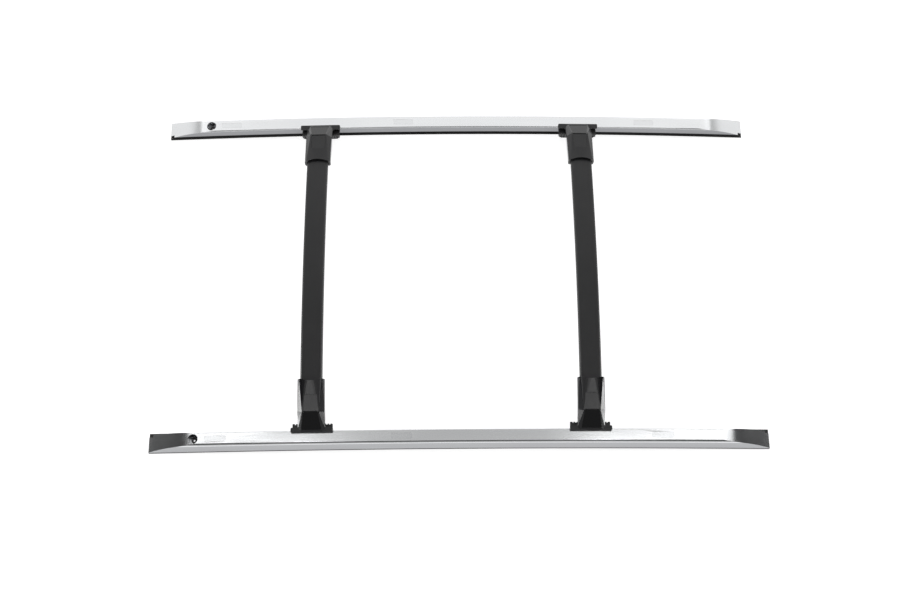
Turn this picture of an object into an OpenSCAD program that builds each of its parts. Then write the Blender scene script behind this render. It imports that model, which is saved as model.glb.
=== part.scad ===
// Arched side rails joined by two crossbars whose feet clamp on the rails' inner edges.
// X runs along the rails, Y from the left rail to the right one, Z up, with the floor at zero.

/* [Side rails] */
// Length of a rail from end to end
rail_length = 1750; // [1500:10:1900]
// Height by which the middle of a rail stands over its ends
rail_arch = 33; // [20:1:45]
// Distance between the inner top edges of the two rails
rail_gap = 934; // [800:2:1000]
// Width of the top face
rail_top_w = 38; // [34:0.5:44]
// Height of the rail over its seal
rail_h = 33; // [31:0.5:38]
// Distance by which the inner wall spreads towards its foot
inner_lean = 3; // [1:0.5:5]
// Distance by which the outer wall spreads towards its foot
outer_lean = 11; // [6:0.5:14]
// Wall thickness of the rail
rail_wall = 3; // [2.5:0.1:3.5]
// Radius of the rail's inner top edge
rail_edge_r = 3.5; // [2:0.5:5]
// Radius of the rail's outer top edge
outer_edge_r = 8; // [6:0.5:9]
// Height of the undercut that the lower jaw grips
undercut_h = 8; // [8:0.5:9]
// Depth of the undercut behind the inner top edge
undercut_d = 5; // [4:0.5:7]
// Length over which each rail end dips down
end_length = 140; // [110:5:160]
// Height of the rail's end face over its seal
end_h = 4; // [3:0.5:8]

/* [Rail seal] */
// Thickness of the seal under a rail
seal_t = 3; // [2:0.5:5]
// Distance by which the seal shows past the inner wall
seal_inner_lip = 3.5; // [1:0.5:5]
// Distance by which the seal shows past the outer wall
seal_outer_lip = 1; // [0.5:0.5:3]

/* [Rail fastening] */
// Distance of the open access hole from the rail's front end
access_in = 132; // [125:1:138]
// Diameter of the access hole
access_d = 28; // [24:1:30]
// Distance of the front flush cover from the rail's front end
front_cover_in = 194; // [190:1:220]
// Distance of the middle flush cover from the rail's front end
middle_cover_in = 713; // [650:1:760]
// Distance of the rear flush cover from the rail's rear end
rear_cover_in = 309; // [250:1:400]
// Length of a flush cover
cover_l = 62; // [50:1:70]
// Width of a flush cover
cover_w = 16; // [12:1:20]
// Diameter of the holes for the roof's studs
stud_hole_d = 9; // [8.5:0.5:11]
// Diameter of the bosses round those holes
stud_boss_d = 24; // [20:1:26]
// Height of a boss over the rail's floor
stud_boss_h = 3; // [2:0.5:5]
// Thread diameter of the stud nut
stud_nut_d = 8; // [6:1:8]

/* [Crossbars] */
// Place of the front crossbar along the rails
front_bar_x = -411; // [-480:5:-380]
// Place of the rear crossbar along the rails
rear_bar_x = 364; // [340:5:420]
// Width of a crossbar
bar_w = 62; // [56:1:66]
// Thickness of a crossbar
bar_h = 24; // [22:0.5:26]
// Wall thickness of a crossbar
bar_wall = 2.5; // [2:0.1:3.5]
// Radius of a crossbar's long edges
bar_edge_r = 9; // [6:0.5:10]
// Rise of the crossbar between its two sleeves
bar_arch = 20; // [12:1:26]
// Height of the crossbar's middle line over the rails at the sleeves
bar_rise = 38; // [36:0.5:42]

/* [Feet] */
// Distance from the rail's inner edge to the mouth of the sleeve
sleeve_end = 135; // [125:1:145]
// Thickness of the sleeve beside the bar
sleeve_side = 7; // [5:0.5:9]
// Thickness of the sleeve over the bar
sleeve_top = 5; // [4:0.5:6]
// Thickness of the sleeve under the bar
sleeve_under = 4; // [3:0.5:5]
// Corner radius of the sleeve
sleeve_r = 13; // [9:0.5:14]
// Wall thickness of the foot's shell over its hollow
shell_wall = 4.5; // [4:0.1:5]
// Distance from the rail's inner edge to the end of the bar inside the foot
bar_end = 66; // [60:1:75]
// Rise of the sleeve's crowned top over its corners
sleeve_crown = 4; // [2:0.5:5]
// Width of the bevel at each side of the crease
bevel_w = 14; // [12:0.5:15]
// Drop of that bevel
bevel_drop = 12; // [10:0.5:12.5]
// Width of the centre panel where it starts on the sleeve
panel_top_w = 36; // [34:1:40]
// Width of the centre panel at the crease
panel_mid_w = 41; // [38:1:44]
// Width of the centre panel at the foot's base
panel_low_w = 56; // [52:1:58]
// Distance from the rail's inner edge to the start of the centre panel
panel_start = 90; // [82:1:96]
// Depth of the scoop in the mouth of the sleeve
scoop_d = 7; // [4:0.5:9]
// Depth of the panel's recess
recess_d = 2.2; // [2:0.1:2.6]

/* [Clamp] */
// Length of the base plate along the rail
plate_l = 118; // [112:1:124]
// Distance by which the base plate reaches over the rail's top
plate_reach = 8; // [6:0.5:11]
// Distance by which the base plate reaches inward under the foot
plate_in = 26; // [25:0.5:30]
// Distance by which the plate's two ears reach inward beside the foot
ear_in = 6; // [5:0.5:8]
// Thickness of the base plate
plate_t = 5.2; // [4:0.2:7]
// Thickness of the grip pad under the plate
pad_t = 1.5; // [1:0.1:2.5]
// Diameter of the clamp screw
screw_d = 6; // [5:1:6]
// Distance of the clamp screw from the rail's inner edge
screw_in = 13.5; // [13:0.5:14.5]
// Length of the lower jaw along the rail
jaw_l = 112; // [100:1:116]
// Distance of the jaw's ribbed inner face from the rail's edge
jaw_in = 20; // [20:0.5:23]
// Thickness of the jaw's hook
hook_t = 4.4; // [3.5:0.1:4.6]

/* [Fits] */
// Gap between a piece and another that it slides past
slide_gap = 0.3; // [0.2:0.05:0.6]
// Gap under the rail's lip that the arch takes up as a bar slides
arch_gap = 1.1; // [1.05:0.05:1.3]
// Gap all round a piece that sits in a pocket
fit_gap = 0.25; // [0.15:0.05:0.5]
// Radial gap of pins and screws in the holes they turn in
pin_gap = 0.08; // [0.05:0.01:0.1]

/* [Hidden] */
$fn = 48;
EPS = 0.01;
WIDE = 400;
LEFT = -1;
RIGHT = 1;

// Arc of the rails: arc_r is the radius of the seal's underside
arc_r = pow(rail_length / 2, 2) / (2 * rail_arch) + rail_arch / 2;
arc_half = asin(rail_length / 2 / arc_r);
arc_fn = 1440;
rail_top = seal_t + rail_h;
inner_slope = inner_lean / rail_h;
outer_slope = outer_lean / rail_h;
lip_h = rail_h - undercut_h;
floor_z = seal_t + rail_wall + 1;
boss_z = floor_z + stud_boss_h;
mid_top = rail_top_w / 2;

// Each rail end is cut by a round surface that leaves the top arc at a tangent
end_start = rail_length / 2 - end_length;
end_tilt = asin(end_start / (arc_r + rail_top));
end_point = [
    (arc_r + rail_top) * sin(end_tilt),
    rail_arch - arc_r + (arc_r + rail_top) * cos(end_tilt)
];
end_drop = end_point[1] - seal_t - end_h - end_length * tan(end_tilt);
end_r = (end_length * end_length + end_drop * end_drop) / (2 * end_drop);

// Places of the access hole, the flush covers and the roof's studs along the rail
access_x = access_in - rail_length / 2;
cover_x = [
    front_cover_in - rail_length / 2,
    middle_cover_in - rail_length / 2,
    rail_length / 2 - rear_cover_in
];
stud_x = [access_x, cover_x[1], cover_x[2]];
hollow_half = access_d / 2 - access_x;

// Arc of the crossbars, seen from the side of the car
bar_half = rail_gap / 2 - sleeve_end;
bar_r = pow(bar_half, 2) / (2 * bar_arch) + bar_arch / 2;
bar_axis_z = bar_rise - sqrt(bar_r * bar_r - bar_half * bar_half);
bar_fn = 720;
function bar_z(v) = bar_axis_z + sqrt(bar_r * bar_r - pow(rail_gap / 2 - v, 2));
function bar_tilt(v) = asin((rail_gap / 2 - v) / bar_r);

// Foot: v is the distance inward from the rail's inner top edge, z is over the rail's top
plate_low = slide_gap + pad_t;
plate_top = plate_low + plate_t;
sleeve_w = bar_w + 2 * sleeve_side;
knob_r = 15;
knob_v = 46;
knob_z = bar_z(knob_v) + bar_h / 2 + sleeve_top - knob_r;
heel_r = 8;
heel_v = 52;
heel_z = bar_z(heel_v) - bar_h / 2 - sleeve_under + heel_r;
base_out = 5;
base_in = 34;
base_r = 8;

// Side outline of the foot: the top plane and the sloping outer plane meet at the crease
sleeve_tip_z = bar_rise + (bar_h / 2 + sleeve_top) / cos(bar_tilt(sleeve_end));
tip_span = norm([sleeve_end - knob_v, sleeve_tip_z - knob_z]);
top_angle = atan2(sleeve_tip_z - knob_z, sleeve_end - knob_v) - asin(knob_r / tip_span);
base_z = plate_top + 1;
base_span = norm([knob_v + base_out, knob_z - base_z]);
slope_angle = atan2(knob_z - base_z, knob_v + base_out) + asin(knob_r / base_span);
crease_v = (sleeve_tip_z - sleeve_end * tan(top_angle) - base_z - base_out * tan(slope_angle))
    / (tan(slope_angle) - tan(top_angle));
crease_z = base_z + (crease_v + base_out) * tan(slope_angle);
slope_length = (crease_v + base_out) / cos(slope_angle);
panel_length = (panel_start - crease_v) / cos(top_angle);

// Mouth of the sleeve: a scoop in plan, and a wider lead-in round the bar
scoop_r = (pow(bar_w / 2, 2) + scoop_d * scoop_d) / (2 * scoop_d);
lead_in = 14;
lead_gap = 1.6;

// Centre panel and access cover
panel_t = recess_d - 0.7;
cover_t = 2.6;
cover_sink = 0.7;
hinge_r = 2.6;
hinge_down = hinge_r + cover_sink;
hinge_along = hinge_down * tan((slope_angle - top_angle) / 2);
cover_pin_d = 2.2;
pin_end = 6;
ledge = 3;
cover_gap = 0.4;

// Clamp
jaw_top = -rail_h / 3 + 3;
jaw_hook_top = -lip_h - arch_gap;
jaw_back = jaw_in;
jaw_front = inner_slope * lip_h + 0.9;
hook_reach = undercut_d - arch_gap;
skirt_low = jaw_top + 1.6;
washer_t = 1.2;
washer_d = screw_d * 2.1;
head_d = screw_d * 1.65;
head_h = screw_d * 0.75;
nut_t = 5;
nut_af = 10;
jaw_nut_top = jaw_hook_top - hook_t + nut_t + 1.2;
screw_low = jaw_hook_top - hook_t + 0.4;

// Jaw ribs
rib_count = 6;
rib_pitch = 8;
rib_w = 3.5;
rib_d = 3;

// Bracket and its screws: through is a length that passes right through the base plate
through = plate_top - skirt_low + screw_in * 3;
leg_w = 46;
leg_v = screw_in + 7;
leg_foot = 9;
spigot_start = crease_v - 2;
spigot_end = 122;
screw_head_t = 2.2;
spigot_h = bar_h - 2 * (bar_wall + fit_gap);
bar_screw_v = 88;
bar_screw_x = 14;
bar_screw_d = 5;
shell_screw_d = 4;
shell_screw_x = sleeve_w / 2 - shell_wall - 2;
shell_screw_v = 19;

// Stud nut: flange and hexagon
nut_flange_d = stud_nut_d * 2.2;
nut_flange_t = 2;
nut_hex_d = stud_nut_d * 1.88;
nut_bore_d = stud_nut_d * 0.84;

// Flush covers
cover_seat = 1.6;
cover_rim = 2.5;
cover_plug_h = 6;
cover_plug_wall = 1.4;
catch_d = 1.2;
catch_w = 6;

// Points of an outline whose corners are rounded: each corner is [x, y, radius]
function unit(a) = a / norm(a);
function turn(a, b) = a[0] * b[1] - a[1] * b[0];
function corner_arc(p, before, after, r, steps = 6) =
    let (
        a = unit([before[0] - p[0], before[1] - p[1]]),
        b = unit([after[0] - p[0], after[1] - p[1]]),
        half = acos(a * b) / 2,
        centre = [p[0], p[1]] + unit(a + b) * r / sin(half),
        sweep = 180 - 2 * half,
        side = turn(a, b) > 0 ? -1 : 1,
        first = [p[0], p[1]] + a * r / tan(half) - centre
    )
    [
        for (i = [0 : steps])
            let (w = side * sweep * i / steps)
            centre + [first[0] * cos(w) - first[1] * sin(w), first[0] * sin(w) + first[1] * cos(w)]
    ];
function rounded(corners, steps = 6) = [
    for (i = [0 : len(corners) - 1])
        let (
            n = len(corners),
            p = corners[i],
            before = corners[(i + n - 1) % n],
            after = corners[(i + 1) % n]
        )
        each (p[2] > 0 ? corner_arc(p, before, after, p[2], steps) : [[p[0], p[1]]])
];
function box_corners(l, w, r) = [
    [-l / 2, -w / 2, r], [l / 2, -w / 2, r], [l / 2, w / 2, r], [-l / 2, w / 2, r]
];

// Places its children, modelled over the middle of the rails, at the place x along the arc
module on_arc(x) {
    translate([0, 0, rail_arch - arc_r])
        rotate([0, asin(x / arc_r), 0])
            translate([0, 0, arc_r])
                children();
}

// Sweeps an outline of [outward, up] points along half of the rail's arc, on the side given
module along_half_rail(side, half) {
    mirror([0, side == LEFT ? 1 : 0, 0])
        translate([0, rail_gap / 2, rail_arch - arc_r])
            rotate([0, -90, -90])
                rotate_extrude(angle = half, $fn = arc_fn)
                    translate([arc_r, 0])
                        rotate(90)
                            mirror([0, 1])
                                children();
}

// Sweeps an outline along the whole arc, as two halves that meet in the middle
module along_rail(side, half = arc_half) {
    for (m = [0, 1])
        mirror([m, 0, 0])
            along_half_rail(side, half)
                children();
}

// Sweeps an outline of [along the car, up] points along the crossbar's arc between two v values
module along_bar(from_v, to_v) {
    from_a = bar_tilt(from_v);
    to_a = bar_tilt(to_v);
    translate([0, rail_gap / 2, bar_axis_z])
        rotate([0, -90, 0])
            rotate([0, 0, -from_a])
                rotate_extrude(angle = from_a - to_a, $fn = bar_fn)
                    translate([bar_r, 0])
                        rotate(90)
                            children();
}

// Places a foot's pieces, modelled on the left rail's inner edge
module at_foot(x, side) {
    on_arc(x)
        mirror([0, side == RIGHT ? 1 : 0, 0])
            translate([0, -rail_gap / 2, rail_top])
                children();
}

// Outline of the rail's outer skin
module rail_outline() {
    polygon(rounded([
        [0, rail_top, rail_edge_r],
        [rail_top_w, rail_top, outer_edge_r],
        [rail_top_w + outer_lean, seal_t, 1],
        [undercut_d, seal_t, 0],
        [undercut_d, seal_t + undercut_h, 0],
        [-inner_slope * lip_h, seal_t + undercut_h, 1]
    ], 8));
}

// Outline of the rail's hollow
module rail_hollow() {
    lip_floor = seal_t + undercut_h + rail_wall;
    roof_z = rail_top - rail_wall;
    polygon(rounded([
        [rail_wall - inner_slope * (rail_top - roof_z), roof_z, 0],
        [rail_top_w - rail_wall + outer_slope * (rail_top - roof_z), roof_z, outer_edge_r - rail_wall],
        [rail_top_w - rail_wall + outer_slope * (rail_top - floor_z), floor_z, 0],
        [undercut_d + rail_wall, floor_z, 0],
        [undercut_d + rail_wall, lip_floor, 0],
        [rail_wall - inner_slope * (rail_top - lip_floor), lip_floor, 0]
    ], 4));
}

// Space under the rail's long profile, with both dipping ends
module rail_profile() {
    translate([-end_start, -WIDE * 2, -WIDE])
        cube([2 * end_start, WIDE * 4, 2 * WIDE]);
    for (m = [0, 1])
        mirror([m, 0, 0])
            translate([end_point[0] - end_r * sin(end_tilt), 0, end_point[1] - end_r * cos(end_tilt)])
                rotate([90, 0, 0])
                    cylinder(r = end_r, h = WIDE * 4, center = true, $fn = 360);
}

// Pocket and flush cover share one outline
module cover_outline(shrink) {
    polygon(rounded(box_corners(cover_l - 2 * shrink, cover_w - 2 * shrink, 4 - shrink / 2)));
}

module at_rail_top(x, side) {
    on_arc(x)
        translate([0, side * (rail_gap / 2 + mid_top), rail_top])
            children();
}

module at_stud(x, side) {
    on_arc(x)
        translate([0, side * (rail_gap / 2 + mid_top), 0])
            children();
}

module rail(side) {
    color("silver")
        difference() {
            union() {
                difference() {
                    intersection() {
                        along_rail(side)
                            rail_outline();
                        rail_profile();
                    }
                    for (m = [0, 1])
                        mirror([m, 0, 0])
                            along_half_rail(side, asin(hollow_half / arc_r))
                                rail_hollow();
                }
                for (x = stud_x)
                    at_stud(x, side)
                        translate([0, 0, floor_z - 1])
                            cylinder(d = stud_boss_d, h = stud_boss_h + 1);
            }
            at_rail_top(access_x, side)
                translate([0, 0, -rail_wall - 4])
                    cylinder(d = access_d, h = rail_wall + 8);
            for (x = stud_x)
                at_stud(x, side)
                    translate([0, 0, seal_t - 2])
                        cylinder(d = stud_hole_d, h = boss_z + 2);
            for (x = cover_x)
                at_rail_top(x, side) {
                    translate([0, 0, -cover_seat])
                        linear_extrude(cover_seat + 4)
                            cover_outline(0);
                    translate([0, 0, -rail_wall - 2])
                        linear_extrude(rail_wall + 4)
                            cover_outline(cover_rim);
                }
        }
}

module rail_seal(side) {
    seal_in_x = -inner_lean - seal_inner_lip;
    seal_out_x = rail_top_w + outer_lean + seal_outer_lip;
    color("black")
        difference() {
            along_rail(side)
                polygon(rounded([
                    [seal_in_x, seal_t, 0],
                    [seal_out_x, seal_t, 0],
                    [seal_out_x, 0, 1.5],
                    [seal_in_x, 0, 1.5]
                ], 3));
            for (x = stud_x)
                at_stud(x, side)
                    translate([0, 0, -2])
                        cylinder(d = stud_boss_d - 4, h = seal_t + 4);
        }
}

// Flush covers snap into the rail's top by a hollow plug with two catches
module rail_covers(side) {
    color("silver")
        for (x = cover_x)
            at_rail_top(x, side) {
                translate([0, 0, -cover_seat])
                    linear_extrude(cover_seat - 0.1)
                        cover_outline(fit_gap);
                difference() {
                    translate([0, 0, -cover_plug_h])
                        linear_extrude(cover_plug_h - cover_seat + EPS)
                            cover_outline(cover_rim + fit_gap);
                    translate([0, 0, -cover_plug_h - 1])
                        linear_extrude(cover_plug_h - cover_seat)
                            cover_outline(cover_rim + fit_gap + cover_plug_wall);
                }
                for (m = [0, 1])
                    mirror([m, 0, 0])
                        translate([cover_l / 2 - cover_rim - fit_gap - 1, 0, -cover_plug_h])
                            rotate([90, 0, 0])
                                linear_extrude(catch_w, center = true)
                                    polygon([[0, 0], [1, 0], [1 + catch_d, cover_plug_h - rail_wall - 0.3],
                                        [0, cover_plug_h - rail_wall - 0.3]]);
            }
}

module stud_nut(side) {
    color("dimgray")
        at_stud(access_x, side)
            translate([0, 0, boss_z])
                difference() {
                    union() {
                        cylinder(d = nut_flange_d, h = nut_flange_t);
                        cylinder(d = nut_hex_d, h = stud_nut_d, $fn = 6);
                    }
                    translate([0, 0, -1])
                        cylinder(d = nut_bore_d, h = stud_nut_d + 2);
                }
}

module bar_outline(shrink = 0) {
    polygon(rounded(box_corners(bar_w - 2 * shrink, bar_h - 2 * shrink, bar_edge_r - shrink)));
}

// Hollow crossbar with holes underneath for the screws that hold the brackets' spigots
module bar(x) {
    color([0.12, 0.12, 0.13])
        on_arc(x)
            translate([0, -rail_gap / 2, rail_top])
                difference() {
                    along_bar(bar_end, rail_gap - bar_end)
                        bar_outline();
                    along_bar(bar_end - 5, rail_gap - bar_end + 5)
                        bar_outline(bar_wall);
                    for (m = [0, 1])
                        translate([0, m * rail_gap, 0])
                            mirror([0, m, 0])
                                for (s = [-1, 1])
                                    at_bar_screw(s)
                                        translate([0, 0, -bar_h / 2 - 2])
                                            cylinder(d = bar_screw_d + 1, h = bar_h / 2);
                }
}

// Frame of a bar screw: z runs along the screw, from the bar's middle line
module at_bar_screw(s) {
    translate([0, rail_gap / 2, bar_axis_z])
        rotate([bar_tilt(bar_screw_v), 0, 0])
            translate([s * bar_screw_x, 0, bar_r])
                children();
}

// Frame on the sloping outer plane at the crease: y runs down the slope, z points out of it
module on_slope() {
    translate([0, crease_v, crease_z])
        rotate([slope_angle, 0, 0])
            mirror([0, 1, 0])
                children();
}

// Frame on the top plane at the crease: y runs up the sleeve, z points out of it
module on_top() {
    translate([0, crease_v, crease_z])
        rotate([top_angle, 0, 0])
            children();
}

// Outer form of the foot, or its hollow when inset is the wall
module foot_form(inset = 0, fine = 24) {
    hull() {
        translate([0, sleeve_end - inset, bar_rise])
            rotate([bar_tilt(sleeve_end), 0, 0])
                rotate([90, 0, 0])
                    translate([0, (sleeve_top - sleeve_under) / 2, 0])
                        linear_extrude(EPS)
                            polygon(mouth_points(
                                sleeve_w - 2 * inset,
                                bar_h + sleeve_top + sleeve_under - 2 * inset,
                                sleeve_r - inset
                            ));
        foot_knobs(inset, fine);
    }
    hull() {
        foot_knobs(inset, fine);
        translate([0, (base_in - base_out) / 2, plate_top - (inset > 0 ? 1 : 0)])
            linear_extrude(1 + (inset > 0 ? 1 : 0))
                polygon(base_points(
                    sleeve_w / 2 - inset,
                    (base_in + base_out) / 2 - inset,
                    base_r - inset * 0.6
                ));
    }
}

// Outline of the sleeve's mouth, whose top edge rises to a crown in the middle
function mouth_points(l, w, r) = rounded([
    [-l / 2, -w / 2, r], [l / 2, -w / 2, r], [l / 2, w / 2, r],
    for (i = [3 : -1 : -3])
        let (x = i * l / 10) [x, w / 2 + sleeve_crown * (1 - pow(2 * x / l, 2)), 0],
    [-l / 2, w / 2, r]
]);

// Outline of the foot's base, bevelled at the outer corners and rounded at the inner ones
function base_points(half_l, half_w, r) = rounded([
    [-half_l, r - half_w, 0], [r - half_l, -half_w, 0],
    [half_l - r, -half_w, 0], [half_l, r - half_w, 0],
    [half_l, half_w, r], [-half_l, half_w, r]
]);

// Two rollers on one axis round the crease and leave a bevel between their rims; the heel is below
module foot_knobs(inset, fine) {
    for (roller = [
        [knob_r - inset, sleeve_w - 2 * bevel_w - inset * bevel_w / (2 * bevel_drop)],
        [max(knob_r - bevel_drop - inset, 0.5), sleeve_w - 2 * inset]
    ])
        translate([0, knob_v, knob_z])
            rotate([0, 90, 0])
                cylinder(r = roller[0], h = roller[1], center = true, $fn = 2 * fine);
    for (s = [-1, 1])
        translate([s * (sleeve_w / 2 - heel_r), heel_v, heel_z])
            sphere(r = heel_r - inset, $fn = fine);
}

// Outline of the top panel, from near the crease to its start on the sleeve
module panel_outline(shrink, from) {
    taper = (panel_top_w - panel_mid_w) / 2 / panel_length;
    w0 = panel_mid_w / 2 + taper * from - shrink;
    w1 = panel_top_w / 2 - shrink;
    polygon(rounded([
        [-w0, from, 0], [w0, from, 0],
        [w1, panel_length - shrink, 4], [-w1, panel_length - shrink, 4]
    ]));
}

// Outline of the access cover, from the crease down to the base plate
module cover_slope_outline(shrink, top = 0) {
    w0 = panel_mid_w / 2 - shrink;
    w1 = panel_low_w / 2 - shrink;
    low = slope_length - 4 - shrink;
    polygon(rounded([
        [-w0, top, 0], [w0, top, 0], [w1, low, 3], [-w1, low, 3]
    ], 3));
}

module hinge_axis() {
    on_slope()
        translate([0, hinge_along, -hinge_down])
            rotate([0, 90, 0])
                children();
}

// Moulded shell that covers the bracket and takes the end of the crossbar
module shell() {
    color([0.06, 0.06, 0.065])
        difference() {
            foot_form();
            foot_hollow();
            along_bar(bar_end - slide_gap, sleeve_end + 10)
                bar_outline(-fit_gap);
            along_bar(sleeve_end - lead_in, sleeve_end + 10) {
                bar_outline(-lead_gap);
                polygon([
                    for (i = [-4 : 4])
                        let (x = i * bar_w / 10)
                        [x, bar_h / 2 + lead_gap + sleeve_crown * (1 - pow(2 * x / sleeve_w, 2))],
                    [bar_w / 2 - bar_edge_r, 0], [bar_edge_r - bar_w / 2, 0]
                ]);
            }
            translate([0, sleeve_end + scoop_r - scoop_d, -WIDE / 2])
                cylinder(r = scoop_r, h = WIDE, $fn = 96);
            on_top()
                translate([0, 0, -recess_d])
                    linear_extrude(8)
                        panel_outline(0, -3);
            on_slope()
                translate([0, 0, -cover_t - cover_sink])
                    linear_extrude(12)
                        cover_slope_outline(0);
            on_slope()
                translate([0, 0, -18])
                    linear_extrude(20)
                        cover_slope_outline(ledge, hinge_along + hinge_r + 2);
            hinge_axis()
                cylinder(r = hinge_r + cover_gap, h = panel_mid_w, center = true);
            hinge_axis()
                cylinder(d = cover_pin_d, h = panel_mid_w + pin_end + 2, center = true);
            for (s = [-1, 1]) {
                at_shell_screw(s)
                    cylinder(d = shell_screw_d * 0.8, h = 11);
                at_bar_screw(s)
                    translate([0, 0, -bar_h / 2 - 12])
                        cylinder(d = bar_screw_d * 1.8 + 1, h = 14);
            }
        }
}

// Hollow of the shell, with two bosses left standing for the shell's screws
module foot_hollow() {
    difference() {
        intersection() {
            foot_form(shell_wall, 16);
            translate([-WIDE / 2, -WIDE / 2, 0])
                cube([WIDE, WIDE / 2 + bar_end + 2, WIDE]);
        }
        for (s = [-1, 1])
            at_shell_screw(s)
                cylinder(d = shell_screw_d * 2.2, h = 14);
    }
}

module at_shell_screw(s) {
    translate([s * shell_screw_x, shell_screw_v, plate_top])
        children();
}

// Cast bracket: base plate over the rail's edge, upright leg and spigot inside the bar
module bracket() {
    color([0.1, 0.1, 0.105])
        difference() {
            union() {
                base_plate();
                rotate([90, 0, 90])
                    linear_extrude(leg_w - 4, center = true)
                        polygon([
                            [leg_v, plate_top - 1], [leg_v + leg_foot, plate_top - 1],
                            [spigot_start + 8, bar_z(spigot_start + 8) - spigot_h / 2 + 1.5],
                            [spigot_start + 8, bar_z(spigot_start + 8)],
                            [spigot_start, bar_z(spigot_start)],
                            [leg_v, plate_top + 7]
                        ]);
                along_bar(spigot_start, spigot_end)
                    intersection() {
                        bar_outline(bar_wall + fit_gap);
                        square([leg_w, bar_h * 2], center = true);
                    }
            }
            translate([0, screw_in, skirt_low - 5])
                cylinder(d = screw_d + 2 * slide_gap, h = through);
            for (s = [-1, 1]) {
                at_bar_screw(s)
                    translate([0, 0, -bar_h])
                        cylinder(d = bar_screw_d, h = bar_h - 2);
                at_shell_screw(s) {
                    translate([0, 0, -30])
                        cylinder(d = shell_screw_d + 0.4, h = through);
                    translate([0, 0, skirt_low - plate_top - 1])
                        cylinder(d = shell_screw_d * 1.8 + 0.5, h = 1 + screw_head_t);
                }
            }
        }
}

// Base plate with two ears beside the foot, and the skirt that guides the lower jaw
module base_plate() {
    bevel = 2;
    shoulder = 5;
    body = sleeve_w / 2 - 1;
    half = [
        [plate_l / 2 - bevel, -plate_reach], [plate_l / 2, -plate_reach + bevel],
        [plate_l / 2, ear_in - bevel], [plate_l / 2 - bevel, ear_in],
        [body + shoulder, ear_in], [body, ear_in + shoulder],
        [body, plate_in - shoulder], [body - shoulder, plate_in]
    ];
    translate([0, 0, plate_low])
        linear_extrude(plate_t)
            polygon(concat(half, [for (i = [len(half) - 1 : -1 : 0]) [-half[i][0], half[i][1]]]));
    translate([1 - body, jaw_front, skirt_low])
        cube([2 * body - 2, plate_in - 1 - jaw_front, plate_low - skirt_low + plate_t / 2]);
}

module panel() {
    color([0.08, 0.08, 0.085])
        on_top()
            translate([0, 0, -recess_d])
                linear_extrude(panel_t)
                    panel_outline(fit_gap, hinge_along + hinge_r + cover_gap);
}

// Access cover with the knuckle it turns on
module access_cover() {
    color([0.05, 0.05, 0.055])
        difference() {
            union() {
                on_slope()
                    translate([0, 0, -cover_sink - cover_t])
                        linear_extrude(cover_t)
                            cover_slope_outline(cover_gap, hinge_along);
                hinge_axis()
                    cylinder(r = hinge_r, h = panel_mid_w - 2 * cover_gap, center = true);
            }
            hinge_axis()
                cylinder(d = cover_pin_d + 2 * pin_gap, h = WIDE, center = true);
        }
}

module hinge_pin() {
    color("gray")
        hinge_axis()
            cylinder(d = cover_pin_d, h = panel_mid_w + pin_end, center = true);
}

module grip_pad() {
    color([0.09, 0.09, 0.09])
        translate([-plate_l / 2 + 4, -plate_reach + 1, slide_gap])
            cube([plate_l - 8, plate_reach + jaw_front - 1, pad_t]);
}

module clamp_screw() {
    color("silver")
        translate([0, screw_in, plate_top + washer_t])
            difference() {
                union() {
                    cylinder(d = head_d, h = head_h);
                    translate([0, 0, screw_low - plate_top - washer_t])
                        cylinder(d = screw_d, h = plate_top + washer_t - screw_low + EPS);
                }
                translate([0, 0, head_h - screw_d * 0.5])
                    cylinder(d = screw_d * 0.9, h = screw_d, $fn = 6);
            }
}

module washer() {
    color("silver")
        translate([0, screw_in, plate_top])
            difference() {
                cylinder(d = washer_d, h = washer_t);
                translate([0, 0, -1])
                    cylinder(d = screw_d + 2 * slide_gap, h = washer_t + 2);
            }
}

// Lower jaw: a ribbed block whose hook grips under the rail's lip
module lower_jaw() {
    cut = 9;
    hook_low = jaw_hook_top - hook_t;
    color([0.09, 0.09, 0.095])
        difference() {
            translate([0, jaw_back, 0])
                rotate([90, 0, 0])
                    linear_extrude(jaw_back - jaw_front)
                        polygon([
                            [-jaw_l / 2 + cut, hook_low], [jaw_l / 2 - cut, hook_low],
                            [jaw_l / 2, hook_low + cut], [jaw_l / 2, jaw_top],
                            [-jaw_l / 2, jaw_top], [-jaw_l / 2, hook_low + cut]
                        ]);
            for (i = [-rib_count : rib_count])
                if (abs(i) > 1)
                    translate([i * rib_pitch - rib_w / 2, jaw_back - rib_d, hook_low + 3])
                        cube([rib_w, rib_d + 1, WIDE]);
            translate([0, screw_in, -WIDE / 2])
                cylinder(d = screw_d + 2 * slide_gap, h = WIDE);
            translate([0, screw_in, jaw_nut_top - WIDE])
                rotate(30)
                    cylinder(d = (nut_af + 2 * fit_gap) / cos(30), h = WIDE, $fn = 6);
        }
    color([0.09, 0.09, 0.095])
        translate([-jaw_l / 2 + cut, -hook_reach, hook_low])
            cube([jaw_l - 2 * cut, hook_reach + jaw_front + EPS, hook_t]);
}

module jaw_nut() {
    color("silver")
        translate([0, screw_in, jaw_nut_top - nut_t])
            difference() {
                rotate(30)
                    cylinder(d = nut_af / cos(30), h = nut_t, $fn = 6);
                translate([0, 0, -1])
                    cylinder(d = screw_d + 2 * pin_gap, h = nut_t + 2);
            }
}

// Screws that hold the bar to the bracket's spigot, from underneath
module bar_screws() {
    color("silver")
        for (s = [-1, 1])
            at_bar_screw(s)
                translate([0, 0, -bar_h / 2])
                    difference() {
                        union() {
                            translate([0, 0, -2.5])
                                cylinder(d = bar_screw_d * 1.8, h = 2.5);
                            translate([0, 0, -EPS])
                                cylinder(d = bar_screw_d, h = bar_h / 2 - 3);
                        }
                        translate([0, 0, -3])
                            cylinder(d = bar_screw_d * 0.6, h = 2.2, $fn = 6);
                    }
}

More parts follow.
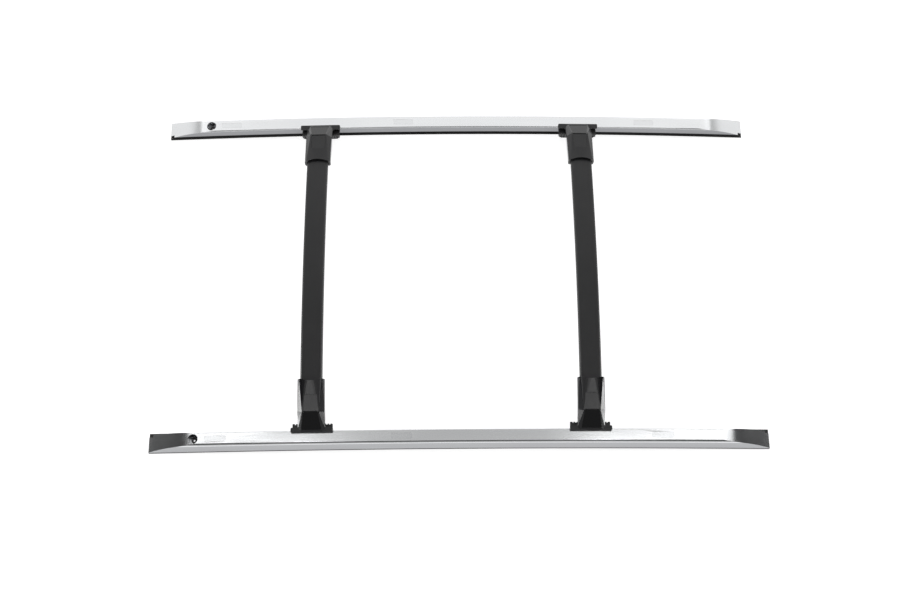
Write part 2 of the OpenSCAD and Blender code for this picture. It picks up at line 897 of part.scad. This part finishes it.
// Screws that hold the shell down to the base plate
module shell_screws() {
    color("silver")
        for (s = [-1, 1])
            at_shell_screw(s)
                difference() {
                    union() {
                        translate([0, 0, skirt_low - plate_top])
                            cylinder(d = shell_screw_d * 1.8, h = screw_head_t);
                        translate([0, 0, skirt_low - plate_top])
                            cylinder(d = shell_screw_d * 0.8, h = plate_top - skirt_low + 10);
                    }
                    translate([0, 0, skirt_low - plate_top - 1])
                        cylinder(d = shell_screw_d * 0.6, h = 2.4, $fn = 6);
                }
}

rail(LEFT);  // left_rail
rail_seal(LEFT);  // left_rail_seal
rail_covers(LEFT);  // left_rail_covers
stud_nut(LEFT);  // left_stud_nut
rail(RIGHT);  // right_rail
rail_seal(RIGHT);  // right_rail_seal
rail_covers(RIGHT);  // right_rail_covers
stud_nut(RIGHT);  // right_stud_nut
bar(front_bar_x);  // front_bar
bar(rear_bar_x);  // rear_bar
at_foot(front_bar_x, LEFT) bracket();  // front_left_bracket
at_foot(front_bar_x, LEFT) shell();  // front_left_shell
at_foot(front_bar_x, LEFT) panel();  // front_left_panel
at_foot(front_bar_x, LEFT) access_cover();  // front_left_cover
at_foot(front_bar_x, LEFT) hinge_pin();  // front_left_hinge_pin
at_foot(front_bar_x, LEFT) grip_pad();  // front_left_grip_pad
at_foot(front_bar_x, LEFT) clamp_screw();  // front_left_clamp_screw
at_foot(front_bar_x, LEFT) washer();  // front_left_washer
at_foot(front_bar_x, LEFT) lower_jaw();  // front_left_lower_jaw
at_foot(front_bar_x, LEFT) jaw_nut();  // front_left_jaw_nut
at_foot(front_bar_x, LEFT) bar_screws();  // front_left_bar_screws
at_foot(front_bar_x, LEFT) shell_screws();  // front_left_shell_screws
at_foot(front_bar_x, RIGHT) bracket();  // front_right_bracket
at_foot(front_bar_x, RIGHT) shell();  // front_right_shell
at_foot(front_bar_x, RIGHT) panel();  // front_right_panel
at_foot(front_bar_x, RIGHT) access_cover();  // front_right_cover
at_foot(front_bar_x, RIGHT) hinge_pin();  // front_right_hinge_pin
at_foot(front_bar_x, RIGHT) grip_pad();  // front_right_grip_pad
at_foot(front_bar_x, RIGHT) clamp_screw();  // front_right_clamp_screw
at_foot(front_bar_x, RIGHT) washer();  // front_right_washer
at_foot(front_bar_x, RIGHT) lower_jaw();  // front_right_lower_jaw
at_foot(front_bar_x, RIGHT) jaw_nut();  // front_right_jaw_nut
at_foot(front_bar_x, RIGHT) bar_screws();  // front_right_bar_screws
at_foot(front_bar_x, RIGHT) shell_screws();  // front_right_shell_screws
at_foot(rear_bar_x, LEFT) bracket();  // rear_left_bracket
at_foot(rear_bar_x, LEFT) shell();  // rear_left_shell
at_foot(rear_bar_x, LEFT) panel();  // rear_left_panel
at_foot(rear_bar_x, LEFT) access_cover();  // rear_left_cover
at_foot(rear_bar_x, LEFT) hinge_pin();  // rear_left_hinge_pin
at_foot(rear_bar_x, LEFT) grip_pad();  // rear_left_grip_pad
at_foot(rear_bar_x, LEFT) clamp_screw();  // rear_left_clamp_screw
at_foot(rear_bar_x, LEFT) washer();  // rear_left_washer
at_foot(rear_bar_x, LEFT) lower_jaw();  // rear_left_lower_jaw
at_foot(rear_bar_x, LEFT) jaw_nut();  // rear_left_jaw_nut
at_foot(rear_bar_x, LEFT) bar_screws();  // rear_left_bar_screws
at_foot(rear_bar_x, LEFT) shell_screws();  // rear_left_shell_screws
at_foot(rear_bar_x, RIGHT) bracket();  // rear_right_bracket
at_foot(rear_bar_x, RIGHT) shell();  // rear_right_shell
at_foot(rear_bar_x, RIGHT) panel();  // rear_right_panel
at_foot(rear_bar_x, RIGHT) access_cover();  // rear_right_cover
at_foot(rear_bar_x, RIGHT) hinge_pin();  // rear_right_hinge_pin
at_foot(rear_bar_x, RIGHT) grip_pad();  // rear_right_grip_pad
at_foot(rear_bar_x, RIGHT) clamp_screw();  // rear_right_clamp_screw
at_foot(rear_bar_x, RIGHT) washer();  // rear_right_washer
at_foot(rear_bar_x, RIGHT) lower_jaw();  // rear_right_lower_jaw
at_foot(rear_bar_x, RIGHT) jaw_nut();  // rear_right_jaw_nut
at_foot(rear_bar_x, RIGHT) bar_screws();  // rear_right_bar_screws
at_foot(rear_bar_x, RIGHT) shell_screws();  // rear_right_shell_screws
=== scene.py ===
"""Studio scene for the roof rack: finishes for every piece, soft boxes, pale floor and camera."""
import math

import bpy
from mathutils import Matrix, Vector

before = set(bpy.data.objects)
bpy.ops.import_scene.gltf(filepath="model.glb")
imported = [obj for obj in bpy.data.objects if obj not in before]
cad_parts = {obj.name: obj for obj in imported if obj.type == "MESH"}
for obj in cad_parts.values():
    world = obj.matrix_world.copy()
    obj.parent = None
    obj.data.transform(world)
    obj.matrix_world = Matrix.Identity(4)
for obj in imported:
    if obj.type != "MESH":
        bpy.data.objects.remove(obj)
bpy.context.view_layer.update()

# Camera that was solved from the photograph, in metres and degrees
CAMERA_AT = (-0.0404, -1.3199, 3.5368)
CAMERA_YAW = 2.073
CAMERA_PITCH = 70.723
CAMERA_ROLL = 1.600
FOCAL_PX = 1278.0
PHOTO_W = 920
SENSOR_MM = 36.0

# Soft boxes: name, place, point that it faces, size, radiance. The rails' tops, the bars and
# the sleeves mirror the ones at the ceiling, and the feet's flanks mirror the low side panels.
CEILING = 4.2
SOFT_BOXES = (
    ("overhead_box", (0.0, 0.20, CEILING), (0.0, 0.20, 0.0), (2.7, 3.0), 0.48),
    ("back_box", (0.0, 2.9, CEILING), (0.0, 1.2, 0.0), (7.0, 2.2), 0.95),
    ("left_strip", (-1.85, 0.5, CEILING), (-0.6, 0.0, 0.0), (0.45, 2.2), 1.5),
    ("right_strip", (2.00, 0.5, CEILING), (0.6, 0.0, 0.0), (0.60, 2.2), 1.5),
)
MIRRORED_BOXES = (
    ("side_panel", (4.6, -0.9, 0.45), (0.0, -0.6, 0.1), (2.4, 0.7), 24.0),
    ("sleeve_box", (1.27, -0.65, CEILING), (0.4, -0.43, 0.1), (0.8, 0.6), 2.3),
)

# Brightness of the sky along a direction's part: from, to, brightness there and there
HORIZON_OVER_Z = (0.02, 0.16, 0.86, 0.055)
BEHIND_OVER_Y = (0.24, 0.36, 0.0, 0.95)
BEHIND_OVER_Z = (0.60, 0.85, 1.0, 0.0)
FRONT_OVER_Y = (-0.25, -0.55, 0.0, 0.45)
FRONT_OVER_Z = (0.62, 0.85, 1.0, 0.0)

FLOOR_SIZE = 60.0
FLOOR_GAP = 0.0005
FLOOR_GLOW = 0.72
WHITE = (1.0, 1.0, 1.0)

# Worn edges: the bevelled and the flat normal agree less than this where an edge is rubbed
WEAR_STARTS = 0.99
WEAR_IS_FULL = 0.88
BEVEL_SAMPLES = 4

# Painted shade on the rails' side faces: the normal's part across the rack where the painted
# darker shade sets in
SIDE_SHADE_STARTS = 0.86
SIDE_SHADE_IS_FULL = 0.97
PAINTED_SIDE_SHADE = (0.34, 0.34, 0.35)

# Where a tint's noise is all dark and where it is all light
TINT_DARK_AT = 0.3
TINT_LIGHT_AT = 0.7

# Sockets of a colour mix node, which share their names with its other types
MIX_SHARE, MIX_FIRST, MIX_SECOND = 0, 6, 7
MIX_RESULT = 2

BARS = ("front", "rear")
SIDES = ("left", "right")


def socket(node, name, value):
    node.inputs[name].default_value = value


def new_material(name, color, roughness, metallic=0.0):
    """A principled material. Its plain values show where nothing linked replaces them."""
    material = bpy.data.materials.new(name)
    material.use_nodes = True
    tree = material.node_tree
    shader = tree.nodes["Principled BSDF"]
    socket(shader, "Base Color", (*color, 1.0))
    socket(shader, "Roughness", roughness)
    socket(shader, "Metallic", metallic)
    return material, tree, shader


def object_noise(tree, scale, detail=2.0, stretch=(1.0, 1.0, 1.0)):
    """Noise in object space, stretched along the axes given."""
    coords = tree.nodes.new("ShaderNodeTexCoord")
    mapping = tree.nodes.new("ShaderNodeMapping")
    socket(mapping, "Scale", stretch)
    noise = tree.nodes.new("ShaderNodeTexNoise")
    socket(noise, "Scale", scale)
    socket(noise, "Detail", detail)
    tree.links.new(coords.outputs["Object"], mapping.inputs["Vector"])
    tree.links.new(mapping.outputs["Vector"], noise.inputs["Vector"])
    return noise


def remap(tree, source, start, end, first, last, smooth=False):
    """Maps the range from start to end onto the one from first to last."""
    spread = tree.nodes.new("ShaderNodeMapRange")
    if smooth:
        spread.interpolation_type = "SMOOTHSTEP"
    socket(spread, "From Min", start)
    socket(spread, "From Max", end)
    socket(spread, "To Min", first)
    socket(spread, "To Max", last)
    tree.links.new(source, spread.inputs["Value"])
    return spread.outputs["Result"]


def combine(tree, operation, *sources):
    """One math node over the sockets given."""
    node = tree.nodes.new("ShaderNodeMath")
    node.operation = operation
    for source, target in zip(sources, node.inputs):
        tree.links.new(source, target)
    return node.outputs["Value"]


def vary_roughness(tree, shader, noise, low, high):
    spread = remap(tree, noise.outputs["Fac"], 0.0, 1.0, low, high)
    tree.links.new(spread, shader.inputs["Roughness"])


def tint(tree, shader, noise, dark, light):
    """Mixes two close base colours by a noise."""
    ramp = tree.nodes.new("ShaderNodeValToRGB")
    low, high = ramp.color_ramp.elements
    low.position, low.color = TINT_DARK_AT, (*dark, 1.0)
    high.position, high.color = TINT_LIGHT_AT, (*light, 1.0)
    tree.links.new(noise.outputs["Fac"], ramp.inputs["Fac"])
    tree.links.new(ramp.outputs["Color"], shader.inputs["Base Color"])


def bump(tree, shader, noise, distance):
    relief = tree.nodes.new("ShaderNodeBump")
    socket(relief, "Distance", distance)
    tree.links.new(noise.outputs["Fac"], relief.inputs["Height"])
    tree.links.new(relief.outputs["Normal"], shader.inputs["Normal"])


def blend_into_base(tree, shader, share, color, blend_type):
    """Mixes a colour into what already feeds the shader's base colour."""
    base = shader.inputs["Base Color"]
    mixed = tree.nodes.new("ShaderNodeMix")
    mixed.data_type = "RGBA"
    mixed.blend_type = blend_type
    tree.links.new(share, mixed.inputs[MIX_SHARE])
    tree.links.new(base.links[0].from_socket, mixed.inputs[MIX_FIRST])
    mixed.inputs[MIX_SECOND].default_value = (*color, 1.0)
    tree.links.new(mixed.outputs[MIX_RESULT], base)


def edge_wear(tree, shader, worn, radius, amount):
    """Lightens the colour where edges are rubbed, broken up by a noise."""
    rounded = tree.nodes.new("ShaderNodeBevel")
    rounded.samples = BEVEL_SAMPLES
    socket(rounded, "Radius", radius)
    flat = tree.nodes.new("ShaderNodeNewGeometry")
    agree = tree.nodes.new("ShaderNodeVectorMath")
    agree.operation = "DOT_PRODUCT"
    tree.links.new(rounded.outputs["Normal"], agree.inputs[0])
    tree.links.new(flat.outputs["True Normal"], agree.inputs[1])
    edge = remap(tree, agree.outputs["Value"], WEAR_STARTS, WEAR_IS_FULL, 0.0, amount)
    patches = object_noise(tree, scale=120.0, detail=3.0)
    share = combine(tree, "MULTIPLY", edge, patches.outputs["Fac"])
    blend_into_base(tree, shader, share, worn, "MIX")


def paint_shade_on_sides(tree, shader):
    """Paints shade on upright side faces: multiplies the colour by a darker tone there, as if
    they mirrored less light.
    """
    faces = tree.nodes.new("ShaderNodeNewGeometry")
    split = tree.nodes.new("ShaderNodeSeparateXYZ")
    tree.links.new(faces.outputs["Normal"], split.inputs["Vector"])
    across = combine(tree, "ABSOLUTE", split.outputs["Y"])
    painted_shade_share = remap(tree, across, SIDE_SHADE_STARTS, SIDE_SHADE_IS_FULL, 0.0, 1.0)
    blend_into_base(tree, shader, painted_shade_share, PAINTED_SIDE_SHADE, "MULTIPLY")


def silver_material(name, dark, light, smooth, rough):
    """Bright anodised aluminium with faint drawing lines along the rail."""
    material, tree, shader = new_material(name, light, (smooth + rough) / 2, metallic=1.0)
    lines = object_noise(tree, scale=420.0, detail=3.0, stretch=(0.01, 1.0, 1.0))
    vary_roughness(tree, shader, lines, smooth, rough)
    tone = object_noise(tree, scale=9.0, detail=2.0, stretch=(0.3, 1.0, 1.0))
    tint(tree, shader, tone, dark, light)
    # Painted shade: the upright side faces get a darker colour, which stands in for the light
    # they mirror less
    paint_shade_on_sides(tree, shader)
    bump(tree, shader, lines, distance=0.00002)
    edge_wear(tree, shader, worn=(0.93, 0.93, 0.93), radius=0.0012, amount=0.9)
    return material


def bar_material():
    """Satin black powder coat with a fine orange peel."""
    plain, dark, light = (0.010, 0.010, 0.011), (0.008, 0.008, 0.009), (0.012, 0.012, 0.013)
    material, tree, shader = new_material("satin_black_bar", plain, roughness=0.40)
    peel = object_noise(tree, scale=900.0, detail=3.0)
    vary_roughness(tree, shader, peel, low=0.36, high=0.50)
    bump(tree, shader, peel, distance=0.00006)
    tone = object_noise(tree, scale=14.0, detail=2.0)
    tint(tree, shader, tone, dark, light)
    edge_wear(tree, shader, worn=(0.05, 0.05, 0.05), radius=0.0010, amount=0.8)
    return material


def moulded_material(name, color, smooth, rough, mirror=0.5):
    """Moulded black plastic: a clean gloss with slow sink marks and a trace of grain."""
    material, tree, shader = new_material(name, color, (smooth + rough) / 2)
    socket(shader, "Specular IOR Level", mirror)
    grain = object_noise(tree, scale=260.0, detail=4.0)
    vary_roughness(tree, shader, grain, smooth, rough)
    sink = object_noise(tree, scale=22.0, detail=1.0)
    bump(tree, shader, sink, distance=0.00025)
    tint(tree, shader, grain, dark=color, light=tuple(c * 1.25 for c in color))
    edge_wear(tree, shader, worn=(0.07, 0.07, 0.07), radius=0.0008, amount=0.9)
    return material


def cast_material():
    """Coated casting: fine cast grain under a satin black coat."""
    plain, dark, light = (0.012, 0.012, 0.013), (0.009, 0.009, 0.010), (0.016, 0.016, 0.017)
    material, tree, shader = new_material("coated_casting", plain, roughness=0.40)
    grain = object_noise(tree, scale=1400.0, detail=4.0)
    vary_roughness(tree, shader, grain, low=0.32, high=0.52)
    bump(tree, shader, grain, distance=0.00012)
    tint(tree, shader, grain, dark, light)
    edge_wear(tree, shader, worn=(0.08, 0.08, 0.08), radius=0.0010, amount=0.9)
    return material


def rubber_material():
    """Dull black rubber with a dusty bloom."""
    plain, dark, light = (0.018, 0.018, 0.018), (0.014, 0.014, 0.014), (0.026, 0.026, 0.026)
    material, tree, shader = new_material("black_rubber", plain, roughness=0.75)
    grain = object_noise(tree, scale=700.0, detail=4.0)
    vary_roughness(tree, shader, grain, low=0.65, high=0.88)
    bump(tree, shader, grain, distance=0.0001)
    tint(tree, shader, grain, dark, light)
    return material


def steel_material():
    """Zinc-plated steel with faint turning marks."""
    plain, dark, light = (0.60, 0.60, 0.61), (0.52, 0.52, 0.53), (0.66, 0.66, 0.67)
    material, tree, shader = new_material("zinc_steel", plain, roughness=0.34, metallic=1.0)
    marks = object_noise(tree, scale=1600.0, detail=3.0, stretch=(1.0, 1.0, 6.0))
    vary_roughness(tree, shader, marks, low=0.28, high=0.44)
    tint(tree, shader, marks, dark, light)
    bump(tree, shader, marks, distance=0.00003)
    return material


def dress(material, *nodes):
    for name in nodes:
        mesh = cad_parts[name].data
        mesh.materials.clear()
        mesh.materials.append(material)


def dress_all():
    silver = silver_material(
        "silver_rail", dark=(0.76, 0.77, 0.78), light=(0.83, 0.84, 0.85), smooth=0.10, rough=0.17
    )
    cap = silver_material(
        "silver_cap", dark=(0.72, 0.73, 0.74), light=(0.79, 0.80, 0.81), smooth=0.12, rough=0.19
    )
    bar = bar_material()
    shell = moulded_material("moulded_shell", (0.006, 0.006, 0.007), smooth=0.16, rough=0.23)
    cover = moulded_material(
        "moulded_cover", (0.004, 0.004, 0.0045), smooth=0.08, rough=0.14, mirror=0.22
    )
    cast = cast_material()
    rubber = rubber_material()
    steel = steel_material()
    for side in SIDES:
        dress(silver, f"{side}_rail")
        dress(cap, f"{side}_rail_covers")
        dress(rubber, f"{side}_rail_seal")
        dress(cast, f"{side}_stud_nut")
    for place in BARS:
        dress(bar, f"{place}_bar")
        for side in SIDES:
            foot = f"{place}_{side}_"
            dress(shell, foot + "shell", foot + "panel")
            dress(cover, foot + "cover")
            dress(cast, foot + "bracket", foot + "lower_jaw")
            dress(rubber, foot + "grip_pad")
            dress(
                steel,
                foot + "hinge_pin",
                foot + "clamp_screw",
                foot + "washer",
                foot + "jaw_nut",
                foot + "bar_screws",
                foot + "shell_screws",
            )


def add_camera():
    yaw, pitch, roll = (math.radians(a) for a in (CAMERA_YAW, CAMERA_PITCH, CAMERA_ROLL))
    forward = Vector(
        (math.sin(yaw) * math.cos(pitch), math.cos(yaw) * math.cos(pitch), -math.sin(pitch))
    )
    right = Vector((math.cos(yaw), -math.sin(yaw), 0.0))
    up = right.cross(forward)
    turned_right = right * math.cos(roll) + up * math.sin(roll)
    turned_up = -right * math.sin(roll) + up * math.cos(roll)
    data = bpy.data.cameras.new("camera")
    data.sensor_width = SENSOR_MM
    data.lens = FOCAL_PX / PHOTO_W * SENSOR_MM
    camera = bpy.data.objects.new("camera", data)
    bpy.context.scene.collection.objects.link(camera)
    axes = Matrix((turned_right, turned_up, -forward)).transposed()
    camera.matrix_world = Matrix.Translation(CAMERA_AT) @ axes.to_4x4()
    bpy.context.scene.camera = camera


def sky_ramp(tree, source, ramp):
    """Smooth change of brightness along one part of the direction."""
    return remap(tree, source, *ramp, smooth=True)


def add_world():
    """Pale at the horizon, behind the rack and low in front of it, darker above."""
    world = bpy.data.worlds.new("studio")
    world.use_nodes = True
    tree = world.node_tree
    sky = tree.nodes["Background"]
    coords = tree.nodes.new("ShaderNodeTexCoord")
    split = tree.nodes.new("ShaderNodeSeparateXYZ")
    tree.links.new(coords.outputs["Generated"], split.inputs["Vector"])
    depth, height = split.outputs["Y"], split.outputs["Z"]
    horizon = sky_ramp(tree, height, HORIZON_OVER_Z)
    behind = sky_ramp(tree, depth, BEHIND_OVER_Y)
    low_behind = combine(tree, "MULTIPLY", behind, sky_ramp(tree, height, BEHIND_OVER_Z))
    front = sky_ramp(tree, depth, FRONT_OVER_Y)
    low_front = combine(tree, "MULTIPLY", front, sky_ramp(tree, height, FRONT_OVER_Z))
    low_sides = combine(tree, "MAXIMUM", low_behind, low_front)
    tree.links.new(combine(tree, "MAXIMUM", horizon, low_sides), sky.inputs["Color"])
    socket(sky, "Strength", 1.0)
    bpy.context.scene.world = world


def soft_box(name, at, target, size, radiance):
    """Lit by radiance and not by power, because the silver rails mirror it."""
    light = bpy.data.lights.new(name, "AREA")
    light.shape = "RECTANGLE"
    light.size, light.size_y = size
    light.energy = radiance * math.pi * size[0] * size[1]
    holder = bpy.data.objects.new(name, light)
    bpy.context.scene.collection.objects.link(holder)
    turn = (Vector(target) - Vector(at)).to_track_quat("-Z", "Y")
    holder.matrix_world = Matrix.Translation(at) @ turn.to_matrix().to_4x4()


def mirrored(point, side):
    return (point[0] * side, point[1], point[2])


def add_lights():
    for box in SOFT_BOXES:
        soft_box(*box)
    for side in (-1.0, 1.0):
        for name, at, target, size, radiance in MIRRORED_BOXES:
            soft_box(name, mirrored(at, side), mirrored(target, side), size, radiance)


def add_floor():
    bpy.ops.mesh.primitive_plane_add(size=FLOOR_SIZE, location=(0.0, 0.0, -FLOOR_GAP))
    floor = bpy.context.object
    floor.name = "pale_floor"
    plain, dark, light = (0.93, 0.93, 0.93), (0.925, 0.925, 0.925), (0.935, 0.935, 0.935)
    material, tree, shader = new_material("pale_floor", plain, roughness=0.9)
    tone = object_noise(tree, scale=0.8, detail=2.0)
    tint(tree, shader, tone, dark, light)
    socket(shader, "Emission Color", (*WHITE, 1.0))
    socket(shader, "Emission Strength", FLOOR_GLOW)
    floor.data.materials.append(material)


def set_look():
    view = bpy.context.scene.view_settings
    view.view_transform = "Standard"
    view.look = "None"
    view.exposure = 0.0


dress_all()
add_camera()
add_world()
add_lights()
add_floor()
set_look()
